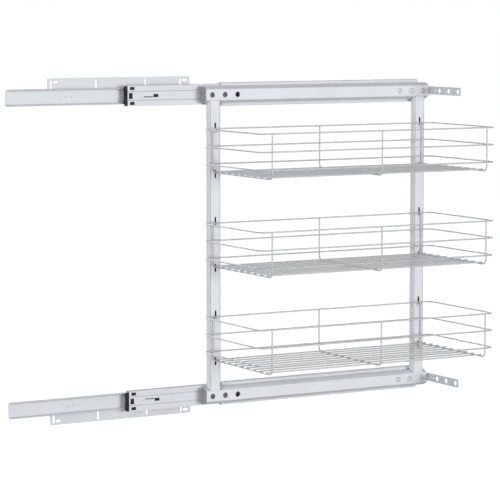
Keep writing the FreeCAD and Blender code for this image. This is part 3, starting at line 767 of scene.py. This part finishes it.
class BuildCrossWires(bpy.types.Operator):
    """Bends the U-shaped cross wires of every basket"""

    bl_idname = "pullout.cross_wires"
    bl_label = "Cross wires"

    def execute(self, context):
        sizes = context.scene.pullout_wires
        radius = sizes.wire_diameter / 2

        def corners(low, high):
            x = (low.x + high.x) / 2
            near = low.y + radius
            far = high.y - radius
            foot = low.z + radius
            return [Vector((x, near, high.z)), Vector((x, near, foot)),
                    Vector((x, far, foot)), Vector((x, far, high.z))]

        bend_for_baskets("_cross_wires", "_u_wires", corners, sizes.cross_bend)
        return {"FINISHED"}


class BuildFloorWires(bpy.types.Operator):
    """Lays the long floor wires of every basket"""

    bl_idname = "pullout.floor_wires"
    bl_label = "Floor wires"

    def execute(self, context):
        def ends(low, high):
            middle = (low + high) / 2
            return [Vector((x, middle.y, middle.z)) for x in (low.x, high.x)]

        rim_bend = context.scene.pullout_wires.rim_bend
        bend_for_baskets("_floor_wires", "_long_wires", ends, rim_bend)
        return {"FINISHED"}


class BuildHooks(bpy.types.Operator):
    """Bends the hooks that hang the baskets in the stiles"""

    bl_idname = "pullout.hooks"
    bl_label = "Hooks"

    def execute(self, context):
        sizes = context.scene.pullout_wires
        radius = sizes.wire_diameter / 2

        def corners(low, high):
            x = (low.x + high.x) / 2
            near = low.y + radius
            far = high.y - radius
            crossing = high.z - radius
            return [Vector((x, near, crossing - sizes.hook_front_leg)),
                    Vector((x, near, crossing)), Vector((x, far, crossing)),
                    Vector((x, far, low.z))]

        bend_for_baskets("_hooks", "_hook_wires", corners, sizes.hook_bend)
        return {"FINISHED"}


class BuildWelds(bpy.types.Operator):
    """Sets the flattened weld beads where the basket wires cross"""

    bl_idname = "pullout.welds"
    bl_label = "Welds"

    def execute(self, context):
        sizes = context.scene.pullout_wires
        radius = sizes.wire_diameter / 2
        material = finishes()["drawn_wire"]
        for basket in BASKETS:
            upright = []
            level = []
            for low, high in islands(basket + "_cross_wires"):
                x = (low.x + high.x) / 2
                for rim_low, rim_high in islands(basket + "_rims"):
                    z = (rim_low.z + rim_high.z) / 2
                    upright.append(Vector((x, (low.y + rim_low.y) / 2 + radius, z)))
                    upright.append(Vector((x, (high.y + rim_high.y) / 2 - radius, z)))
                for wire_low, wire_high in islands(basket + "_floor_wires"):
                    y = (wire_low.y + wire_high.y) / 2
                    level.append(Vector((x, y, (low.z + wire_low.z) / 2 + radius)))
            for name, places, turn in (("rim_welds", upright, (math.pi / 2, 0, 0)),
                                       ("floor_welds", level, (0, 0, 0))):
                bead = round_template("bead", sizes.weld_length / 2, sizes.weld_thickness / 2,
                                      BEAD_SIDES, BEAD_STEPS)
                repeated(f"{basket}_{name}", bead, places, turn, material,
                         [basket + "_cross_wires"], "basket_wire", stands_for=False)
        return {"FINISHED"}


class BuildRails(bpy.types.Operator):
    """Dresses the frame's rails, stiles, door brackets, plates and end caps"""

    bl_idname = "pullout.rails"
    bl_label = "Frame"

    def execute(self, context):
        edges = context.scene.pullout_edges
        for node in ("rear_stile", "front_stile"):
            rounded_copy(node, edges.sheet_edge, finishes()[node + "_coat"], "frame_coat")
        dress([("rail", edges.sheet_edge, "rail_coat", "frame_coat"),
               ("door_bracket", edges.plate_edge, "bracket_zinc", "bracket_steel"),
               ("joint_plates", edges.plate_edge, "bracket_zinc", "slide_steel"),
               ("rail_end_cap", edges.plastic_edge, "grey_cap", "cap_plastic"),
               ("filler_plate", edges.plastic_edge, "grey_filler", "filler_plastic")])
        return {"FINISHED"}


class BuildSlides(bpy.types.Operator):
    """Dresses the slide members and the wall brackets"""

    bl_idname = "pullout.slides"
    bl_label = "Slides"

    def execute(self, context):
        edges = context.scene.pullout_edges
        dress([("wall_bracket", edges.plate_edge, "bracket_zinc", "bracket_steel"),
               ("cabinet_member", edges.sheet_edge, "slide_zinc", "slide_steel"),
               ("middle_member", edges.sheet_edge, "slide_zinc", "slide_steel"),
               ("frame_member", edges.sheet_edge, "slide_zinc", "slide_steel")])
        return {"FINISHED"}


class BuildBumpers(bpy.types.Operator):
    """Dresses the black bumpers and release levers"""

    bl_idname = "pullout.bumpers"
    bl_label = "Bumpers and levers"

    def execute(self, context):
        edge = context.scene.pullout_edges.plastic_edge
        dress([("end_bumper", edge, "black_moulding", "bumper_plastic"),
               ("release_lever", edge, "black_moulding", "bumper_plastic")])
        return {"FINISHED"}


class BuildRunners(bpy.types.Operator):
    """Sets the balls in their cages"""

    bl_idname = "pullout.runners"
    bl_label = "Ball runners"

    def execute(self, context):
        edges = context.scene.pullout_edges
        made = finishes()
        for side in SIDES:
            for row in ("inner", "outer"):
                node = f"{row}_balls_{side}"
                boxes = islands(node)
                radius = (boxes[0][1].y - boxes[0][0].y) / 2
                ball = round_template("ball", radius, radius, BALL_SIDES, BALL_STEPS)
                places = [(low + high) / 2 for low, high in boxes]
                repeated(f"{row}_ball_set_{side}", ball, places, (0, 0, 0),
                         made["polished_ball"], [node], "ball_steel")
                rounded_copy(f"{row}_ball_cage_{side}", edges.cage_edge, made["slide_zinc"],
                             "slide_steel", steps=1)
        return {"FINISHED"}


class BuildFasteners(bpy.types.Operator):
    """Sets the rivets, screws and lever pivots"""

    bl_idname = "pullout.fasteners"
    bl_label = "Fasteners"

    def execute(self, context):
        edge = context.scene.pullout_edges.fastener_edge
        bright = ("cabinet_rivets", "joint_rivets", "lever_pivot", "door_bracket_screws")
        dress([*((kind, edge, "fastener_zinc", "fastener_steel") for kind in bright),
               # The frame screws take the zinc with painted shade.
               ("frame_screws", edge, "fastener_dark", "fastener_steel")], steps=3)
        return {"FINISHED"}


def seen_by_camera(tree):
    """1 for what the camera sees, directly or in a shiny or clear surface, otherwise 0."""
    path = tree.nodes.new("ShaderNodeLightPath")
    either = number(tree, "MAXIMUM", path.outputs["Is Camera Ray"], path.outputs["Is Glossy Ray"])
    return number(tree, "MAXIMUM", either, path.outputs["Is Transmission Ray"])


def build_floor(settings):
    """A wide floor that looks white and keeps the unit's shadow."""
    height = CAD_BOX[0].z - settings.floor_drop
    data = bpy.data.meshes.new("floor")
    data.from_pydata([(x * FLOOR_REACH, y * FLOOR_REACH, height)
                      for x, y in ((-1, -1), (1, -1), (1, 1), (-1, 1))], [], [(0, 1, 2, 3)])
    floor = bpy.data.objects.new("floor", data)
    bpy.context.scene.collection.objects.link(floor)
    material, tree, shader = new_material("pale_floor")
    tinted(tree, shader, (1, 1, 1), FLOOR_GREYS, noise(tree, FLOOR_CLOUDS))
    shader.inputs["Roughness"].default_value = FLOOR_ROUGHNESS
    shader.inputs["Specular IOR Level"].default_value = 0.0
    shader.inputs["Emission Color"].default_value = WHITE
    level_place = pattern_at(tree, (1, 1, 0))
    distance = math_node(tree, "ShaderNodeVectorMath", "LENGTH", level_place)["Value"]
    white = mapped(tree, distance, (settings.shadow_reach / 2, settings.shadow_reach),
                   (settings.floor_glow, 1.0))
    tree.links.new(number(tree, "MULTIPLY", seen_by_camera(tree), white),
                   shader.inputs["Emission Strength"])
    data.materials.append(material)


def build_world(settings):
    """An even room light, which looks white to the camera."""
    world = bpy.data.worlds.new("studio")
    world.use_nodes = True
    bpy.context.scene.world = world
    tree = world.node_tree
    sky = tree.nodes["Background"]
    sky.inputs["Color"].default_value = WHITE
    strength = mapped(tree, seen_by_camera(tree), (0, 1), (settings.sky, 1.0))
    tree.links.new(strength, sky.inputs["Strength"])


def build_light(settings, name):
    """A soft square light, aimed at the unit's middle from its own turn, lift and distance."""
    turn, lift, distance, size, power = [
        getattr(settings, f"{name}_{value}")
        for value in ("turn", "lift", "distance", "size", "power")]
    away = Vector((math.sin(turn) * math.cos(lift), -math.cos(turn) * math.cos(lift),
                   math.sin(lift)))
    lamp = bpy.data.lights.new(name + "_light", "AREA")
    lamp.shape = "SQUARE"
    lamp.size = size
    lamp.energy = power
    holder = bpy.data.objects.new(name + "_light", lamp)
    holder.location = (CAD_BOX[0] + CAD_BOX[1]) / 2 + away * distance
    holder.rotation_euler = (-away).to_track_quat("-Z", "Y").to_euler()
    bpy.context.scene.collection.objects.link(holder)
    return holder


def build_camera(settings):
    """The camera at the photograph's place."""
    camera = bpy.data.cameras.new("camera")
    camera.sensor_width = SENSOR_WIDTH
    camera.lens = settings.camera_lens
    camera.clip_end = VIEW_REACH
    holder = bpy.data.objects.new("camera", camera)
    holder.location = settings.camera_place
    holder.rotation_euler = Euler((math.pi / 2 - settings.camera_dip, 0, -settings.camera_turn))
    bpy.context.scene.collection.objects.link(holder)
    bpy.context.scene.camera = holder


class BuildStage(bpy.types.Operator):
    """Makes the floor, the light and the camera"""

    bl_idname = "pullout.stage"
    bl_label = "Stage"

    def execute(self, context):
        settings = context.scene.pullout_stage
        build_floor(settings)
        build_world(settings)
        build_light(settings, "key")
        fill = build_light(settings, "fill")
        fill.visible_glossy = False  # no glare on the faces seen from the door's end
        build_light(settings, "back")
        build_camera(settings)
        context.scene.view_settings.view_transform = "Standard"
        return {"FINISHED"}


OPERATORS = (BuildRims, BuildCrossWires, BuildFloorWires, BuildHooks, BuildWelds, BuildRails,
             BuildSlides, BuildBumpers, BuildRunners, BuildFasteners, BuildStage)
GROUPS = {"pullout_wires": WireSizes, "pullout_edges": EdgeSizes,
          "pullout_colours": FinishColours, "pullout_stage": StageSettings}


class PulloutPanel(bpy.types.Panel):
    """Lists the unit's sizes, colours and building steps"""

    bl_idname = "VIEW3D_PT_pullout"
    bl_label = "Pull-out baskets"
    bl_space_type = "VIEW_3D"
    bl_region_type = "UI"
    bl_category = "Pull-out"

    def draw(self, context):
        layout = self.layout
        for name, group in GROUPS.items():
            box = layout.box()
            box.label(text=group.__doc__)
            settings = getattr(context.scene, name)
            for prop in group.__annotations__:
                box.prop(settings, prop)
        for operator in OPERATORS:
            layout.operator(operator.bl_idname)


def register():
    """Registers the classes and puts the settings on the scene."""
    for cls in (*GROUPS.values(), *OPERATORS, PulloutPanel):
        bpy.utils.register_class(cls)
    for name, group in GROUPS.items():
        setattr(bpy.types.Scene, name, bpy.props.PointerProperty(type=group))


def unregister():
    """Takes the settings and the classes away again."""
    for name in GROUPS:
        delattr(bpy.types.Scene, name)
    for cls in reversed((*GROUPS.values(), *OPERATORS, PulloutPanel)):
        bpy.utils.unregister_class(cls)


def main():
    """Builds every piece and the stage."""
    register()
    for operator in OPERATORS:
        group, name = operator.bl_idname.split(".")
        getattr(getattr(bpy.ops, group), name)()


if __name__ == "__main__":
    main()
